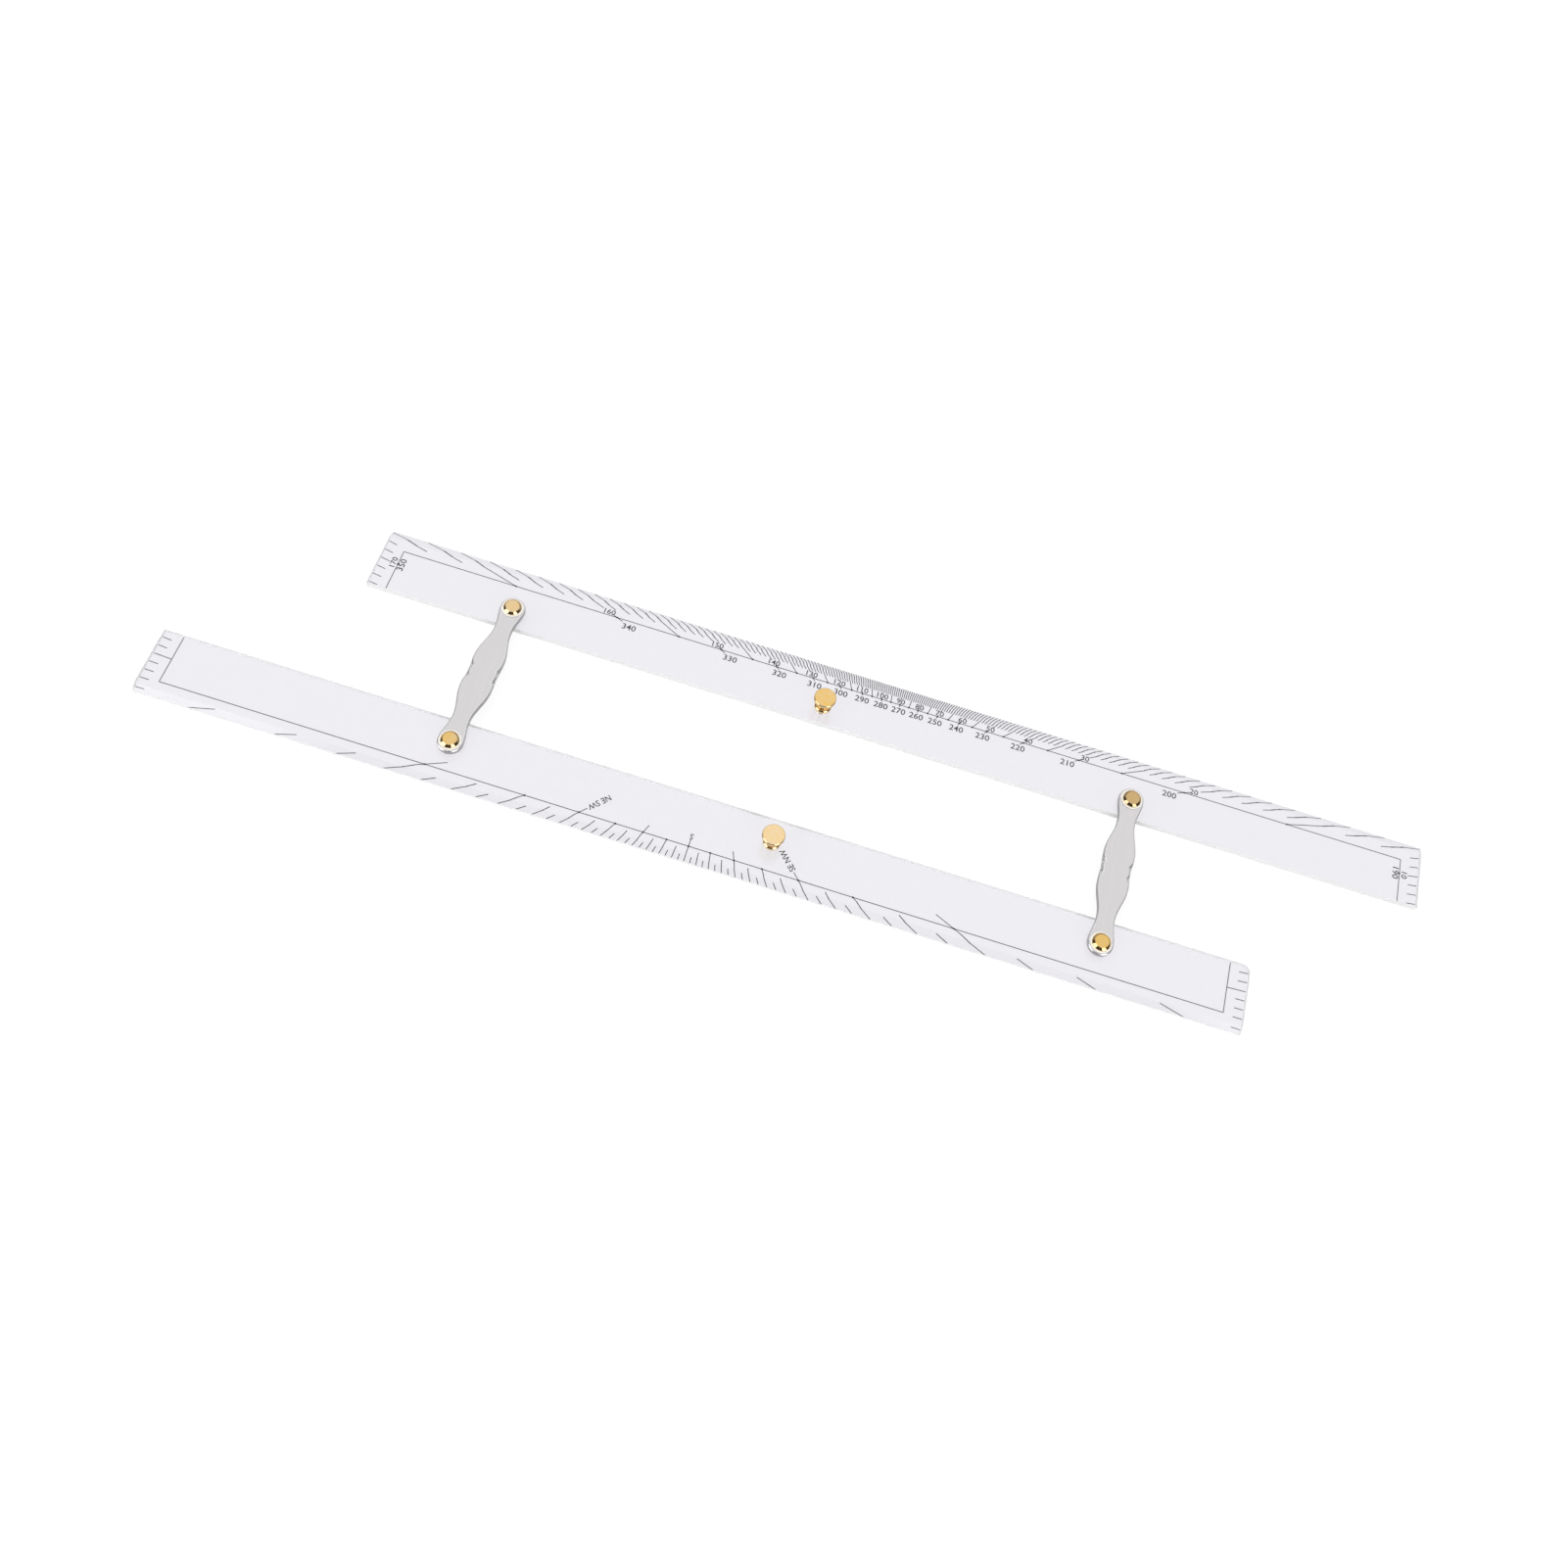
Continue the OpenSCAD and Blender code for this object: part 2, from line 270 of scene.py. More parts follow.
def surface_marks():
    """Node group: thin lines left by handling or brushing, and a soft mottle."""
    group = bpy.data.node_groups.new("surface_marks", "ShaderNodeTree")
    group_socket(group, "Scale", "Float", "INPUT")
    group_socket(group, "Stretch", "Vector", "INPUT")
    group_socket(group, "Lines", "Float", "OUTPUT")
    group_socket(group, "Mottle", "Float", "OUTPUT")
    given = put(group, "NodeGroupInput").outputs
    place = put(group, "ShaderNodeTexCoord").outputs["Object"]
    drawn = put(group, "ShaderNodeVectorMath", {0: place, 1: given["Stretch"]}, operation="MULTIPLY")
    fine = put(
        group, "ShaderNodeTexNoise",
        {
            "Vector": drawn.outputs[0], "Scale": given["Scale"],
            "Detail": LINE_DETAIL, "Roughness": LINE_ROUGH,
        },
    )
    coarse = sum_of(group, "MULTIPLY", given["Scale"], MOTTLE_SCALE)
    soft = put(
        group, "ShaderNodeTexNoise", {"Vector": place, "Scale": coarse, "Detail": MOTTLE_DETAIL}
    )
    found = put(group, "NodeGroupOutput")
    group.links.new(step(group, fine.outputs["Fac"], LINE_EDGE), found.inputs["Lines"])
    group.links.new(step(group, soft.outputs["Fac"], MOTTLE_EDGE), found.inputs["Mottle"])
    return group


def marks(tree, scale, stretch):
    """The outputs of the surface marks, at this scale and drawn out this way."""
    node = put(tree, "ShaderNodeGroup", node_tree=SURFACE_MARKS)
    node.inputs["Scale"].default_value = scale
    node.inputs["Stretch"].default_value = stretch
    return node.outputs


def blend_colours(tree, share, first, second):
    """The colour between two colours."""
    node = put(tree, "ShaderNodeMix", data_type="RGBA")
    for socket, value in zip(("A_Color", "B_Color"), (first, second)):
        place = next(i for i in node.inputs if i.identifier == socket)
        if isinstance(value, bpy.types.NodeSocket):
            tree.links.new(value, place)
        else:
            place.default_value = value
    factor = next(i for i in node.inputs if i.identifier == "Factor_Float")
    tree.links.new(share, factor)
    return next(o for o in node.outputs if o.identifier == "Result_Color")


def bump(tree, height, strength, depth):
    """A normal that follows this height."""
    return put(
        tree, "ShaderNodeBump", {"Height": height, "Strength": strength, "Distance": depth}
    ).outputs["Normal"]


def new_finish(name):
    """A material with its node tree and its shader's inputs."""
    made = bpy.data.materials.new(name)
    made.use_nodes = True
    return made, made.node_tree, made.node_tree.nodes["Principled BSDF"].inputs


def merged_copy(node):
    """A CAD node's mesh with its loose triangles joined into flat faces."""
    part = bmesh.new()
    part.from_mesh(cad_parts[node].data)
    bmesh.ops.remove_doubles(part, verts=part.verts, dist=MERGE)
    bmesh.ops.dissolve_limit(
        part, angle_limit=FLAT, use_dissolve_boundaries=False, verts=part.verts, edges=part.edges,
        delimit=set(),
    )
    return part


def soften(part, edges, width, segments):
    """Rounds these edges, shades only the new strips smooth, and returns the strips."""
    made = bmesh.ops.bevel(
        part, geom=edges, offset=width, offset_type="OFFSET", segments=segments, profile=0.5,
        affect="EDGES", material=-1, clamp_overlap=True,
    )
    for face in made["faces"]:
        face.smooth = True
    return set(made["faces"])


def middle(node):
    """The middle of a CAD node's box."""
    low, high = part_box(node)
    return (low + high) / 2


def by_a_hole(edge):
    """True if the edge belongs to a screw hole."""
    point = (edge.verts[0].co + edge.verts[1].co) / 2
    return any((point - middle(screw)).xy.length < HOLE_REACH for screw in SCREWS)


def outline_edges(sheet):
    """The blade's sharp edges, without those of its holes."""
    return [e for e in sheet.edges if e.calc_face_angle(0) > SHARP and not by_a_hole(e)]


def between_lying_faces(edge):
    """True for the edge between a blade's flat face and its slope."""
    return all(abs(face.normal.z) > STANDING for face in edge.link_faces)


def let_light_through(tree):
    """Lets lamplight and scattered light through, and rays already mirrored twice inside the sheet."""
    clear = put(tree, "ShaderNodeBsdfTransparent")
    path = put(tree, "ShaderNodeLightPath").outputs
    lighting = sum_of(tree, "MAXIMUM", path["Is Shadow Ray"], path["Is Diffuse Ray"])
    trapped = sum_of(tree, "GREATER_THAN", path["Glossy Depth"], TRAPPED_AFTER)
    passed = sum_of(tree, "MAXIMUM", lighting, trapped)
    glass = tree.nodes["Principled BSDF"].outputs[0]
    mixed = put(tree, "ShaderNodeMixShader", {0: passed, 1: glass, 2: clear.outputs[0]})
    tree.links.new(mixed.outputs[0], tree.nodes["Material Output"].inputs["Surface"])


def acrylic_finish():
    """Clear cast acrylic, polished, with a few hairlines along the blade."""
    made, tree, shader = new_finish("clear_acrylic")
    shader["Base Color"].default_value = ACRYLIC_TINT
    shader["Transmission Weight"].default_value = 1
    shader["IOR"].default_value = ACRYLIC_IOR
    found = marks(tree, HAIRLINE_SCALE, HAIRLINE_STRETCH)
    tree.links.new(between(tree, found["Lines"], *POLISH), shader["Roughness"])
    tree.links.new(bump(tree, found["Lines"], HAIRLINE_BUMP, HAIRLINE_DEPTH), shader["Normal"])
    let_light_through(tree)
    return made


def sawn_finish():
    """Scraped satin edge of the same sheet, which scatters light, with the saw's marks across it."""
    made, tree, shader = new_finish("sawn_acrylic")
    found = marks(tree, SAWN_SCALE, SAWN_STRETCH)
    tree.links.new(blend_colours(tree, found["Lines"], SAWN_DARK, SAWN_PALE), shader["Base Color"])
    shader["Transmission Weight"].default_value = SAWN_CLEAR
    shader["IOR"].default_value = ACRYLIC_IOR
    shader["Roughness"].default_value = SAWN_ROUGH
    tree.links.new(bump(tree, found["Lines"], SAWN_BUMP, SAWN_DEPTH), shader["Normal"])
    let_light_through(tree)
    return made


SURFACE_MARKS = surface_marks()
acrylic = acrylic_finish()
sawn = sawn_finish()
for blade, body in BLADES.items():
    sheet = merged_copy(blade)
    soften(sheet, [e for e in outline_edges(sheet) if between_lying_faces(e)], RIDGE, RIDGE_STEPS)
    scraped = soften(sheet, outline_edges(sheet), EASED, EASED_STEPS)
    sheet.normal_update()
    for face in sheet.faces:
        face.material_index = 1 if face in scraped or abs(face.normal.z) < STANDING else 0
    straightedge = shown_object(blade + "_acrylic", sheet)
    straightedge.data.materials.append(acrylic)
    straightedge.data.materials.append(sawn)
    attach(straightedge, body)
    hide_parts(blade)


# The scales are cut into the underside of the blades and filled with black ink.
# The far blade has a protractor in degrees and the near one the quarter points of a compass.
INK_WIDTH = 0.00027
INK_DEPTH = 0.00002
INK_AT = 0.00002
INK_MARGIN = 0.00016
DOT_WIDTH = 0.00072
DOT_SIDES = 16
END_LINE_AT = 0.1834
SPREAD = 0.9436
UPRIGHT = 90
HALF_TURN = 180
LETTER_HEIGHT = 0.7
LETTER_MIDDLE = 0.041
LETTER_STEPS = 3
NUMBER_WIDE = 1.1
LETTER_WIDE = 0.9
LETTER_BOLD = 0.00003
INK_BLACK = (0.008, 0.008, 0.01, 1)
INK_GREY = (0.03, 0.03, 0.033, 1)
INK_ROUGH = (0.45, 0.7)
INK_SCALE = 1800
EVENLY = (1, 1, 1)
blade_low, blade_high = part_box("far_blade")
BLADE_END = (blade_high.x - blade_low.x) / 2
BLADE_WIDTH = blade_high.y - blade_low.y

# The far blade's degrees
FAR_LINE = 0.00667
FAR_FAN = 0.04694
FAR_DEGREES = range(13, 168)
FAR_END_DEGREES = range(7, 13)
FAR_END_NUMBERS = {-1: ("170", "350"), 1: ("10", "190")}
SHORT_TICK = 0.0039
TEN_TICK = 0.0045
CROSS_TICK = (0.0059, 0.0076)
UPPER_NUMBER_AT = 0.00524
UPPER_NUMBER_HEIGHT = 0.002
LOWER_NUMBER_AT = 0.0091
LOWER_NUMBER_RAY = 0.008
LOWER_NUMBER_HEIGHT = 0.0022
LOW_RAYS = 60
UPPER_INWARD = 0.0004
LOWER_INWARD = 0.0017
END_TICK = 0.0033
END_TEN_TICK = 0.0036
END_NUMBER_AT = 0.0122
END_NUMBER_OUT = 0.0017
END_NUMBER_IN = 0.0014

# The near blade's compass, whose points are each divided into four quarters
NEAR_LINE = 0.0058
NEAR_FAN = 0.04586
POINT = 11.25
NEAR_QUARTERS = range(-27, 28)
HALF_TICKS_TO = 24
QUARTER_TICK = 0.00275
HALF_TICK = 0.00465
SECOND_POINT_PAST = 0.0088
SOUTH_PAST = 0.0083
SOUTH_AT = 0.0094
CORNER_PAST = 0.0081
CORNER_POINTS = 4
CORNER_LETTERS = {-1: "SE NW", 1: "NE SW"}
CORNER_LETTERS_AT = 0.0114
COMPASS_LETTER_HEIGHT = 0.0021
NEAR_END_TICKS = 7
NEAR_END_LONG = 4
NEAR_END_FIRST = 0.0021
NEAR_END_STEP = 0.00328
NEAR_END_LEAN = 0.005


class Scale:
    """Ink in a blade's own plane: X along the blade from its middle, depth from its outer edge inwards."""

    def __init__(self, fan):
        self.mesh = bmesh.new()
        self.fan = fan

    def ray(self, degrees, depth):
        """The point at this depth on the ray that leaves the fan's centre at this angle."""
        return Vector((SPREAD * (self.fan - depth) / math.tan(math.radians(degrees)), -depth))

    def line(self, start, end):
        """A filled groove from start to end."""
        along = end - start
        place = (
            Matrix.Translation(((start + end) / 2).to_3d() + Vector((0, 0, INK_AT)))
            @ Matrix.Rotation(math.atan2(along.y, along.x), 4, "Z")
            @ Matrix.Diagonal((along.length, INK_WIDTH, INK_DEPTH, 1))
        )
        bmesh.ops.create_cube(self.mesh, size=1, matrix=place)

    def dot(self, point):
        """A spot where the cutter stopped and the ink is wider."""
        bmesh.ops.create_cone(
            self.mesh, cap_ends=True, segments=DOT_SIDES, radius1=DOT_WIDTH / 2, radius2=DOT_WIDTH / 2,
            depth=INK_DEPTH, matrix=Matrix.Translation((*point, INK_AT)),
        )

    def letters(self, text, point, height, turn=0):
        """Numbers or compass letters, centred on a point."""
        size = height / LETTER_HEIGHT
        curve = bpy.data.curves.new("letters", "FONT")
        curve.body = text
        curve.size = size
        curve.align_x = "CENTER"
        curve.align_y = "CENTER"
        curve.offset = LETTER_BOLD
        curve.extrude = INK_DEPTH / 2
        curve.resolution_u = LETTER_STEPS
        writing = bpy.data.objects.new("letters", curve)
        cut = bpy.data.meshes.new_from_object(writing)
        cut.transform(
            Matrix.Translation((*point, INK_AT))
            @ Matrix.Rotation(turn, 4, "Z")
            @ Matrix.Diagonal((NUMBER_WIDE if text.isdigit() else LETTER_WIDE, 1, 1, 1))
            @ Matrix.Translation((0, -LETTER_MIDDLE * size, 0))
        )
        self.mesh.from_mesh(cut)
        bpy.data.objects.remove(writing)
        bpy.data.curves.remove(curve)
        bpy.data.meshes.remove(cut)

    def frame_line(self, depth):
        """The long line and the two end lines that run from it to the inner edge."""
        self.line(Vector((-END_LINE_AT, -depth)), Vector((END_LINE_AT, -depth)))
        for end in (-END_LINE_AT, END_LINE_AT):
            self.line(Vector((end, -depth)), Vector((end, INK_MARGIN - BLADE_WIDTH)))


def ink_finish():
    """Matt black filler, a little uneven."""
    made, tree, shader = new_finish("scale_ink")
    found = marks(tree, INK_SCALE, EVENLY)
    tree.links.new(blend_colours(tree, found["Mottle"], INK_BLACK, INK_GREY), shader["Base Color"])
    tree.links.new(between(tree, found["Lines"], *INK_ROUGH), shader["Roughness"])
    return made


def placed_scale(scale, blade, body, turn):
    """Puts a finished scale into its blade."""
    low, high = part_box(blade)
    edge = high.y if turn == 0 else low.y
    scale.mesh.transform(
        Matrix.Translation(((low.x + high.x) / 2, edge, 0)) @ Matrix.Rotation(turn, 4, "Z")
    )
    bmesh.ops.remove_doubles(scale.mesh, verts=scale.mesh.verts, dist=MERGE)
    made = shown_object(blade + "_scale", scale.mesh)
    made.data.materials.append(ink)
    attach(made, body)


def far_scale():
    """Protractor: a tick for each degree, longer at five and numbered at ten."""
    scale = Scale(FAR_FAN)
    scale.frame_line(FAR_LINE)
    for degrees in FAR_DEGREES:
        reach = abs(math.tan(math.radians(degrees))) * (BLADE_END - INK_MARGIN) / SPREAD
        start = scale.ray(degrees, max(INK_MARGIN, FAR_FAN - reach))
        if degrees % 10 == 0:
            scale.line(start, scale.ray(degrees, TEN_TICK))
            scale.line(scale.ray(degrees, CROSS_TICK[0]), scale.ray(degrees, CROSS_TICK[1]))
            scale.dot(scale.ray(degrees, FAR_LINE))
            upper = scale.ray(degrees, UPPER_NUMBER_AT)
            lower = Vector((scale.ray(degrees, LOWER_NUMBER_RAY).x, -LOWER_NUMBER_AT))
            if abs(degrees - UPRIGHT) >= LOW_RAYS:
                upper.x -= math.copysign(UPPER_INWARD, upper.x)
                lower.x -= math.copysign(LOWER_INWARD, lower.x)
            scale.letters(str(degrees), upper, UPPER_NUMBER_HEIGHT)
            scale.letters(str(degrees + HALF_TURN), lower, LOWER_NUMBER_HEIGHT)
        elif degrees % 5 == 0:
            scale.line(start, scale.ray(degrees, FAR_LINE))
            scale.dot(scale.ray(degrees, FAR_LINE))
        else:
            scale.line(start, scale.ray(degrees, SHORT_TICK))
    for side, (outer_number, inner_number) in FAR_END_NUMBERS.items():
        for degrees in FAR_END_DEGREES:
            slope = math.tan(math.radians(degrees)) / SPREAD
            length = END_TEN_TICK if degrees == 10 else END_TICK
            outer, inner = (
                Vector((side * x, x * slope - FAR_FAN))
                for x in (BLADE_END - INK_MARGIN, BLADE_END - length)
            )
            scale.line(outer, inner)
        turn = -side * math.pi / 2
        outer_at = Vector((side * (END_LINE_AT + END_NUMBER_OUT), -END_NUMBER_AT))
        scale.letters(outer_number, outer_at, UPPER_NUMBER_HEIGHT, turn)
        inner_at = Vector((side * (END_LINE_AT - END_NUMBER_IN), -END_NUMBER_AT))
        scale.letters(inner_number, inner_at, LOWER_NUMBER_HEIGHT, turn)
        scale.dot(Vector((side * END_LINE_AT, -END_NUMBER_AT)))
    return scale


def near_scale():
    """Compass: a tick for each quarter point, longer on the points, with letters on three of them."""
    scale = Scale(NEAR_FAN)
    scale.frame_line(NEAR_LINE)
    for quarter in NEAR_QUARTERS:
        degrees = UPRIGHT - quarter * POINT / 4
        if quarter == 0:
            past = SOUTH_PAST
        elif quarter % (4 * CORNER_POINTS) == 0:
            past = CORNER_PAST
        elif quarter % 8 == 0:
            past = SECOND_POINT_PAST
        elif quarter % 4 == 0:
            past = NEAR_LINE
        elif quarter % 2 == 0 and abs(quarter) < HALF_TICKS_TO:
            past = HALF_TICK
        else:
            past = QUARTER_TICK
        scale.line(scale.ray(degrees, INK_MARGIN), scale.ray(degrees, past))
        if quarter % 4 == 0:
            scale.dot(scale.ray(degrees, NEAR_LINE))
    scale.letters("S", Vector((0, -SOUTH_AT)), COMPASS_LETTER_HEIGHT)
    for side, text in CORNER_LETTERS.items():
        point = scale.ray(UPRIGHT - side * CORNER_POINTS * POINT, CORNER_LETTERS_AT)
        scale.letters(text, point, COMPASS_LETTER_HEIGHT, side * math.atan2(1, SPREAD))
        for tick in range(NEAR_END_TICKS):
            depth = NEAR_END_FIRST + tick * NEAR_END_STEP
            lean = (depth - NEAR_END_LEAN) / BLADE_END
            outer = BLADE_END - INK_MARGIN
            inner = END_LINE_AT if tick == NEAR_END_LONG else BLADE_END - END_TICK
            scale.line(
                Vector((side * outer, -depth)),
                Vector((side * inner, -depth + (outer - inner) * lean)),
            )
    return scale


ink = ink_finish()
placed_scale(far_scale(), "far_blade", "far_rule", 0)
placed_scale(near_scale(), "near_blade", "near_rule", math.pi)


# Each pivot stacks a nylon spacer on the blade, the arm's eye, and a thin nylon washer under the stud.
# The rings are moulded, so their corners are a little round.
PIVOTS = {
    "far_left": "far_rule",
    "far_right": "far_rule",
    "near_left": "near_rule",
    "near_right": "near_rule",
}
RING_BORE = 0.00205
RING_EDGE = 0.00006
CORNER_STEPS = 3
TURNED_STEPS = 72
NYLON_PALE = (0.93, 0.90, 0.84, 1)
NYLON_DARK = (0.85, 0.81, 0.73, 1)
NYLON_ROUGH = 0.45
NYLON_SCALE = 700
NYLON_BUMP = 0.08
NYLON_DEPTH = 0.00003


def arc(centre, size, start, end, steps):
    """Points of radius and height along an arc between two angles in degrees."""
    turns = [math.radians(start + (end - start) * i / steps) for i in range(steps + 1)]
    return [(centre[0] + size[0] * math.cos(t), centre[1] + size[1] * math.sin(t)) for t in turns]


def turned(profile, centre, closed=False, tone=0.0, tarnish_and_shade=0.0):
    """Spins a profile of radius and height round the upright line through a point, and notes its looks."""
    part = bmesh.new()
    points = [part.verts.new((radius, 0, height)) for radius, height in profile]
    edges = [part.edges.new(pair) for pair in zip(points, points[1:])]
    if closed:
        edges.append(part.edges.new((points[-1], points[0])))
    bmesh.ops.spin(
        part, geom=points + edges, cent=(0, 0, 0), axis=(0, 0, 1), dvec=(0, 0, 0),
        angle=math.tau, steps=TURNED_STEPS, use_merge=True, use_duplicate=False,
    )
    bmesh.ops.remove_doubles(part, verts=part.verts, dist=MERGE)
    bmesh.ops.recalc_face_normals(part, faces=part.faces)
    for name in ("reach", "tone", "tarnish_and_shade"):
        part.verts.layers.float.new(name)
    reach, pale, tarnish_and_shade_layer = (part.verts.layers.float[name] for name in ("reach", "tone", "tarnish_and_shade"))
    for vert in part.verts:
        vert[reach] = vert.co.xy.length
        vert[pale] = tone
        vert[tarnish_and_shade_layer] = tarnish_and_shade
    for face in part.faces:
        face.smooth = True
    for edge in part.edges:
        edge.smooth = edge.calc_face_angle(0) < SHARP
    part.transform(Matrix.Translation((centre.x, centre.y, 0)))
    return part


def nylon_finish():
    """Natural nylon, faintly mottled."""
    made, tree, shader = new_finish("white_nylon")
    found = marks(tree, NYLON_SCALE, EVENLY)
    tree.links.new(blend_colours(tree, found["Mottle"], NYLON_DARK, NYLON_PALE), shader["Base Color"])
    shader["Roughness"].default_value = NYLON_ROUGH
    tree.links.new(bump(tree, found["Mottle"], NYLON_BUMP, NYLON_DEPTH), shader["Normal"])
    return made


def dress(piece, finish, body, node):
    """Gives a finished piece its material, and puts it in the place of its CAD node."""
    piece.data.materials.append(finish)
    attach(piece, body)
    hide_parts(node)


nylon = nylon_finish()
for pivot, body in PIVOTS.items():
    for ring in ("spacer", "washer"):
        node = f"{pivot}_{ring}"
        low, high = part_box(node)
        outer = (high.x - low.x) / 2
        corner = (RING_EDGE, RING_EDGE)
        section = [(RING_BORE, low.z)]
        section += arc((outer - RING_EDGE, low.z + RING_EDGE), corner, -90, 0, CORNER_STEPS)
        section += arc((outer - RING_EDGE, high.z - RING_EDGE), corner, 0, 90, CORNER_STEPS)
        section += [(RING_BORE, high.z)]
        moulded = shown_object(node + "_nylon", turned(section, middle(node), closed=True))
        dress(moulded, nylon, body, node)


# Each arm is a flat bar of aluminium with a swelling outline, a round eye at each end and four notches.
# Its face is brushed satin along its length, its rolled-over edge is painted paler as a highlight, and its
# sides are painted dark grey as shade.
ARMS = ("left", "right")
LEVEL = 1e-5
FACE = (0.93, 0.99)
ARM_EDGE = 0.0006
ARM_EDGE_STEPS = 7
BORE_REACH = 0.003
NOTCH_DEPTH = 0.001
ARM_COLOUR = (0.765, 0.745, 0.755, 1)
ARM_DULL = (0.735, 0.715, 0.725, 1)
# Paler colour painted on the rolled edge as a highlight.
ARM_EDGE_HIGHLIGHT = (0.93, 0.925, 0.93, 1)
# Dark grey painted on the upright sides as shade, and the range of slope over which it fades in.
ARM_SIDE_SHADE = (0.46, 0.45, 0.455, 1)
ARM_SIDE_SHADE_EDGE = (0.25, 0.6)
ARM_ROUGH = 0.34
ARM_EDGE_ROUGH = 0.32
ARM_SCALE = 1400
ARM_STRETCH = (1, 0.04, 1)
ARM_BUMP = 0.05
ARM_DEPTH = 0.00002


def lying(tree, edge):
    """1 on faces that lie flatter than the edge says, and 0 on steeper ones."""
    normal = put(tree, "ShaderNodeNewGeometry").outputs["Normal"]
    rise = put(tree, "ShaderNodeSeparateXYZ", {0: normal}).outputs["Z"]
    return step(tree, sum_of(tree, "ABSOLUTE", rise), edge)


def aluminium_finish():
    """Satin aluminium, with a rolled edge painted paler as a highlight and sides painted dark as shade."""
    made, tree, shader = new_finish("satin_aluminium")
    found = marks(tree, ARM_SCALE, ARM_STRETCH)
    flat = lying(tree, FACE)
    face = blend_colours(tree, found["Lines"], ARM_DULL, ARM_COLOUR)
    # Painted highlight: the rolled edge, which does not lie flat, gets a paler colour than the face.
    upper = blend_colours(tree, flat, ARM_EDGE_HIGHLIGHT, face)
    # Painted shade: the upright sides get a dark grey colour.
    colour = blend_colours(tree, lying(tree, ARM_SIDE_SHADE_EDGE), ARM_SIDE_SHADE, upper)
    tree.links.new(colour, shader["Base Color"])
    shader["Metallic"].default_value = 1
    tree.links.new(between(tree, flat, ARM_EDGE_ROUGH, ARM_ROUGH), shader["Roughness"])
    brushed = sum_of(tree, "MULTIPLY", found["Lines"], flat)
    tree.links.new(bump(tree, brushed, ARM_BUMP, ARM_DEPTH), shader["Normal"])
    return made


def slope_notches(bar, height, start, end):
    """Draws the notches' walls out over the small ledges below them, so that they slope."""
    along = (end - start).xy.normalized()
    ledges = [f for f in bar.faces if f.normal.z > 1 - STANDING and abs(f.verts[0].co.z - height) < LEVEL]
    for ledge in ledges:
        spots = sorted(ledge.verts, key=lambda vert: vert.co.xy.dot(along))
        for pair in zip(spots, spots[1:]):
            if (pair[1].co - pair[0].co).xy.dot(along) < LEVEL:
                inner, outer = sorted(pair, key=lambda vert: abs((vert.co - start).xy.cross(along)))
                inner.co = outer.co
    bmesh.ops.delete(bar, geom=ledges, context="FACES_ONLY")
    bmesh.ops.remove_doubles(bar, verts=bar.verts, dist=MERGE)


def on_rim(edge, height, ends):
    """True if the edge lies between the arm's top, which is this high, and its outer side."""
    level = all(abs(vert.co.z - height) < LEVEL for vert in edge.verts)
    bored = any((edge.verts[0].co - end).xy.length < BORE_REACH for end in ends)
    return level and not bored and edge.calc_face_angle(0) > SHARP


aluminium = aluminium_finish()
for side in ARMS:
    arm = side + "_arm"
    bar = merged_copy(arm)
    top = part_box(arm)[1].z
    ends = [middle(f"{row}_{side}_stud") for row in ("far", "near")]
    slope_notches(bar, top - NOTCH_DEPTH, *ends)
    soften(bar, [e for e in bar.edges if on_rim(e, top, ends)], ARM_EDGE, ARM_EDGE_STEPS)
    finished = shown_object(arm + "_aluminium", bar)
    dress(finished, aluminium, arm, arm)


# Four studs are turned from brass bar, with a flat top, a polished sloping rim painted paler as a
# highlight, and a smooth shoulder.
# Each is held by a countersunk screw from under the blade, in a blind hole.
HOLE = 0.00102
HOLE_DEPTH = 0.0028
SHOULDER = 0.002
HEAD_HEIGHT = 0.001
HEAD_RIM = 0.0008
RIM_EDGE_SLOPE = 50
RIM_TOP_SLOPE = 30
HEAD_CORNER = 0.00005
ROUND_STEPS = 12
# Each stud's tone sets how pale its brass is, and its second value darkens it towards dark brass as
# tarnish. The far right stud's larger value also stands in for dimmer light there, so it is partly painted
# shade.
STUD_LOOKS = {
    "far_left": {"tone": 0.9, "tarnish_and_shade": 0.2},
    "far_right": {"tone": 0.55, "tarnish_and_shade": 0.6},
    "near_left": {"tone": 0.35, "tarnish_and_shade": 0.2},
    "near_right": {"tone": 0, "tarnish_and_shade": 0.2},
}
BRASS_GOLD = (0.97, 0.63, 0.172, 1)
BRASS_PALE = (0.985, 0.752, 0.445, 1)
# Dark brass that pieces are darkened towards: tarnish, and on the far right stud painted shade as well.
BRASS_TARNISH_AND_SHADE = (0.45, 0.30, 0.15, 1)
BRASS_GRAZING = (0.6, 0.5, 0.33, 1)
BRASS_PATCHES = 0.55
# How much paler the rims are painted than the tops, as a painted highlight.
BRASS_RIM_HIGHLIGHT = 0.6
BRASS_TOP_ROUGH = (0.26, 0.36)
BRASS_RIM_ROUGH = (0.06, 0.1)
BRASS_SCALE = 1500
BRASS_STRETCH = (1, 0.3, 1)
BRASS_RINGS = 9000
BRASS_RING_DETAIL = 2
BRASS_BUMP = 0.06
BRASS_DEPTH = 0.00002


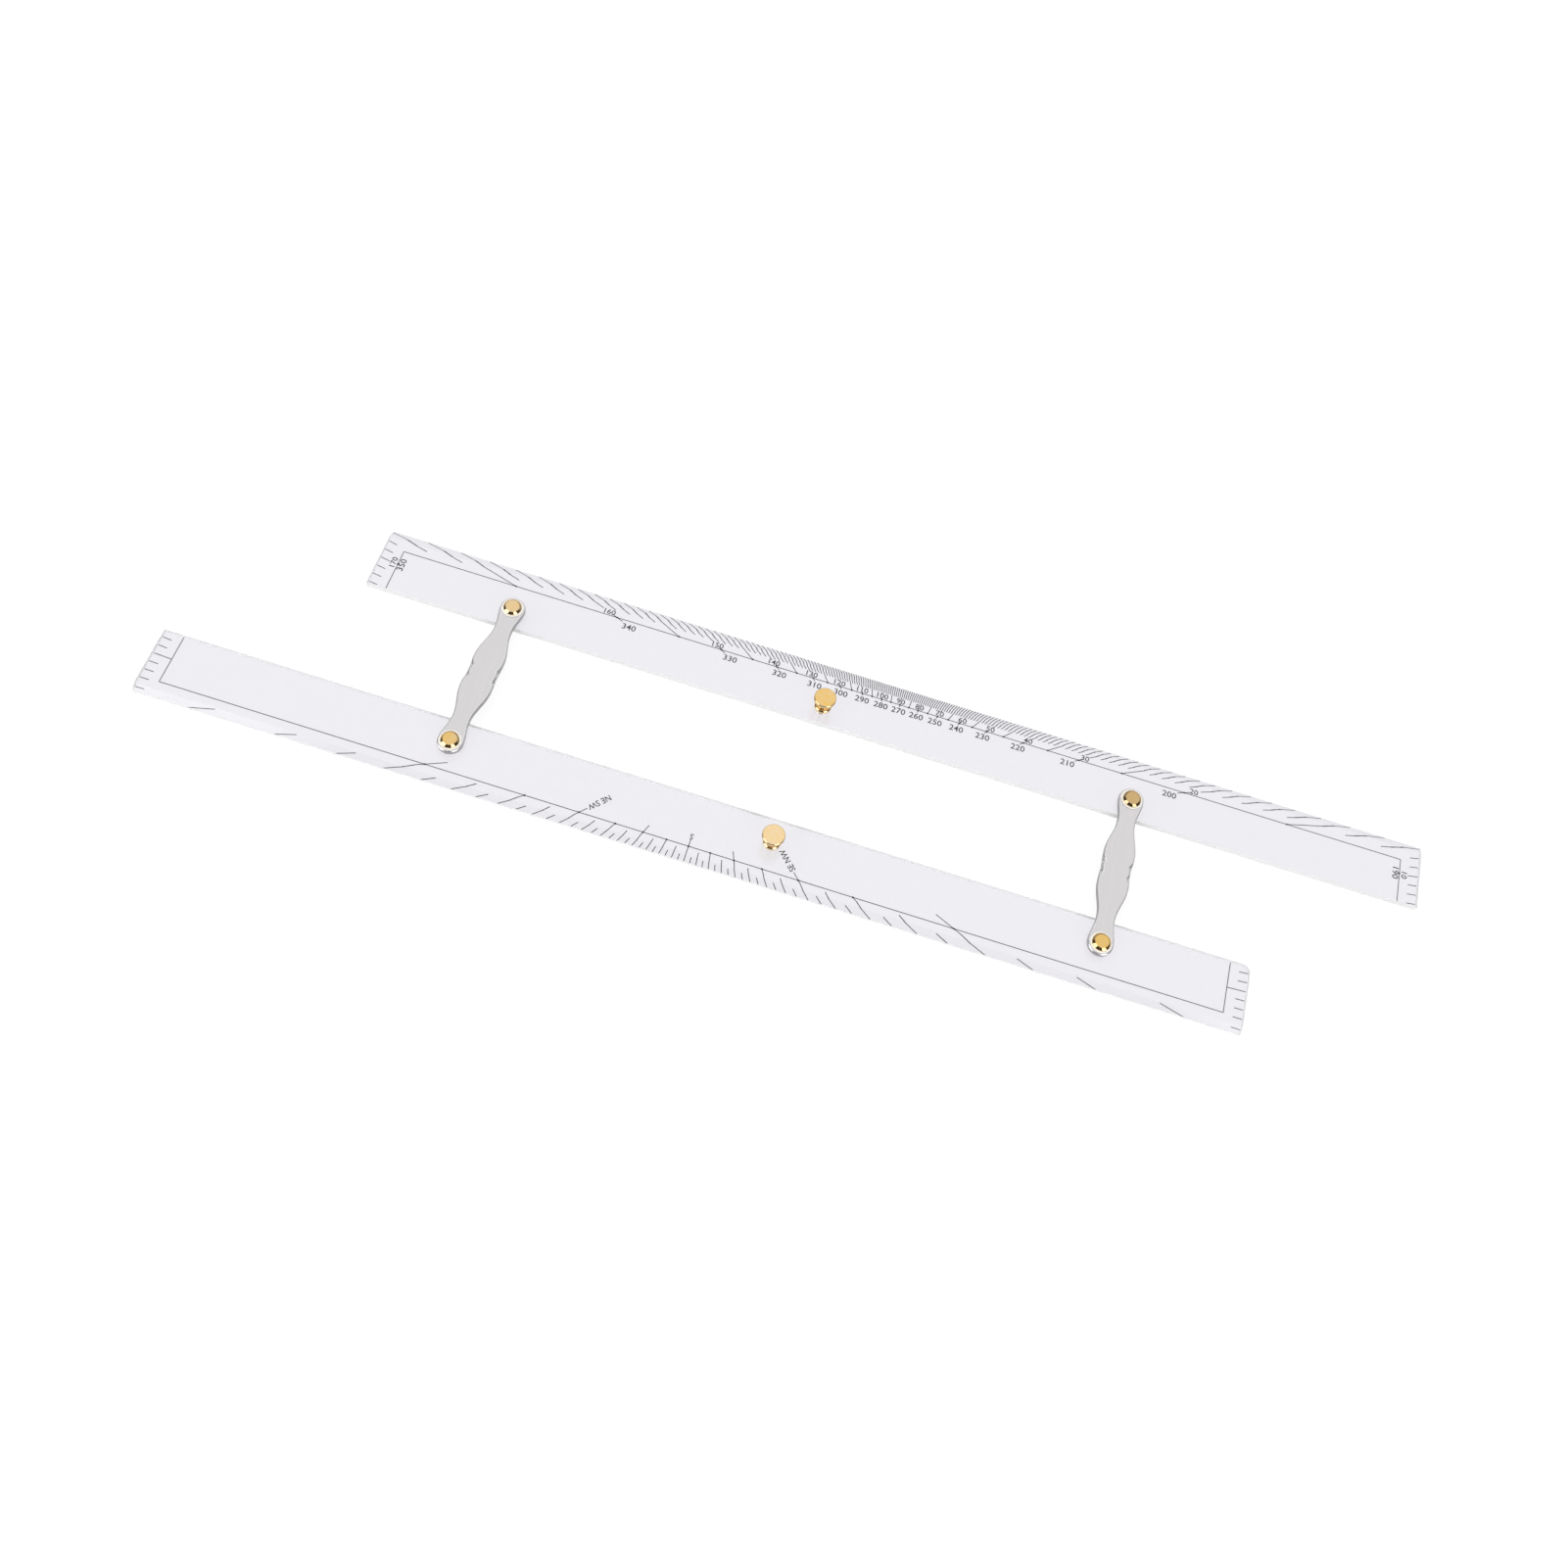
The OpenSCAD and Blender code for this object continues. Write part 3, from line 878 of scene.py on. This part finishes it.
def brass_finish():
    """Turned brass: brushed flat tops with faint rings, and polished round rims painted paler as a
    highlight. Tarnish darkens some pieces, and painted shade darkens the far right stud further.
    """
    made, tree, shader = new_finish("turned_brass")
    found = marks(tree, BRASS_SCALE, BRASS_STRETCH)
    flat = lying(tree, FACE)
    tone, tarnish_and_shade, reach = (
        put(tree, "ShaderNodeAttribute", attribute_name=name).outputs["Fac"]
        for name in ("tone", "tarnish_and_shade", "reach")
    )
    rings = put(
        tree, "ShaderNodeTexNoise",
        {"W": reach, "Scale": BRASS_RINGS, "Detail": BRASS_RING_DETAIL},
        noise_dimensions="1D",
    ).outputs["Fac"]
    mottled = sum_of(tree, "MULTIPLY_ADD", found["Mottle"], BRASS_PATCHES, tone)
    # Painted highlight: rims that do not lie flat get a paler brass colour than the tops.
    rim_highlight = between(tree, flat, BRASS_RIM_HIGHLIGHT - BRASS_PATCHES / 2, -BRASS_PATCHES / 2)
    clean = blend_colours(tree, sum_of(tree, "ADD", mottled, rim_highlight), BRASS_GOLD, BRASS_PALE)
    # Darkened towards dark brass by each piece's second value: tarnish, plus painted shade on the far
    # right stud.
    tree.links.new(blend_colours(tree, tarnish_and_shade, clean, BRASS_TARNISH_AND_SHADE), shader["Base Color"])
    shader["Metallic"].default_value = 1
    shader["Specular Tint"].default_value = BRASS_GRAZING
    top = between(tree, found["Mottle"], *BRASS_TOP_ROUGH)
    rim = between(tree, found["Lines"], *BRASS_RIM_ROUGH)
    tree.links.new(between(tree, flat, rim, top), shader["Roughness"])
    worked = sum_of(tree, "MULTIPLY", sum_of(tree, "ADD", rings, found["Lines"]), flat)
    tree.links.new(bump(tree, worked, BRASS_BUMP, BRASS_DEPTH), shader["Normal"])
    return made


def blind_hole(seat):
    """Profile of the screw's hole, from the axis down to the face that sits on the blade."""
    return [(0, seat + HOLE_DEPTH), (HOLE, seat + HOLE_DEPTH), (HOLE, seat)]


brass = brass_finish()
rim_from = 90 - RIM_EDGE_SLOPE
rim_to = 90 - RIM_TOP_SLOPE
bow = HEAD_RIM / (math.cos(math.radians(rim_from)) - math.cos(math.radians(rim_to)))
for pivot, body in PIVOTS.items():
    node = pivot + "_stud"
    low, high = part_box(node)
    head = (high.x - low.x) / 2
    under = high.z - HEAD_HEIGHT
    corner_at = (head - HEAD_CORNER, under + HEAD_CORNER)
    bow_at = (
        head - bow * math.cos(math.radians(rim_from)),
        high.z - bow * math.sin(math.radians(rim_to)),
    )
    section = blind_hole(low.z)
    section += [(SHOULDER, low.z), (SHOULDER, under)]
    section += arc(corner_at, (HEAD_CORNER, HEAD_CORNER), -90, 0, CORNER_STEPS)
    section += arc(bow_at, (bow, bow), rim_from, rim_to, ROUND_STEPS)
    section += [(0, high.z)]
    stud = shown_object(node + "_brass", turned(section, middle(node), **STUD_LOOKS[pivot]))
    dress(stud, brass, body, node)


# Two knobs, one to a blade, are turned from the same bar for walking the rule over a chart.
# Each has a round bead at its foot, a narrow waist and a flat head, and is screwed on from below.
KNOBS = {"far_knob": "far_rule", "near_knob": "near_rule"}
KNOB_LOOKS = {"far_knob": {"tone": 0.3, "tarnish_and_shade": 0.1}, "near_knob": {"tone": 0.95, "tarnish_and_shade": 0}}
KNOB_RIM = 0.0013
KNOB_EDGE = 0.0004
KNOB_UNDER_EDGE = 0.00015
KNOB_UNDER_STEPS = 4
FOOT = 0.003
FOOT_HEIGHT = 0.0018
WAIST = 0.0021
FLARE = 0.0029

for node, body in KNOBS.items():
    low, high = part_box(node)
    head = (high.x - low.x) / 2
    under = high.z - KNOB_RIM
    waist_at = low.z + FOOT_HEIGHT
    bead_at = (WAIST, low.z + FOOT_HEIGHT / 2)
    under_at = (head - KNOB_UNDER_EDGE, under + KNOB_UNDER_EDGE)
    edge_at = (head - KNOB_EDGE, high.z - KNOB_EDGE)
    section = blind_hole(low.z)
    section += arc(bead_at, (FOOT - WAIST, FOOT_HEIGHT / 2), -90, 90, 2 * ROUND_STEPS)
    section += arc((FLARE, waist_at), (FLARE - WAIST, under - waist_at), 180, 90, ROUND_STEPS)[1:]
    section += arc(under_at, (KNOB_UNDER_EDGE, KNOB_UNDER_EDGE), -90, 0, KNOB_UNDER_STEPS)
    section += arc(edge_at, (KNOB_EDGE, KNOB_EDGE), 0, 90, ROUND_STEPS)
    section += [(0, high.z)]
    knob = shown_object(node + "_brass", turned(section, middle(node), **KNOB_LOOKS[node]))
    dress(knob, brass, body, node)


# Six small slotted brass screws hold the studs and knobs from the underside of the blades.
# They are the frame's own pieces, finished like the studs.
for name in SCREWS:
    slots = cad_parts[name].data.materials
    slots.clear()
    slots.append(brass)

low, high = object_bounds()
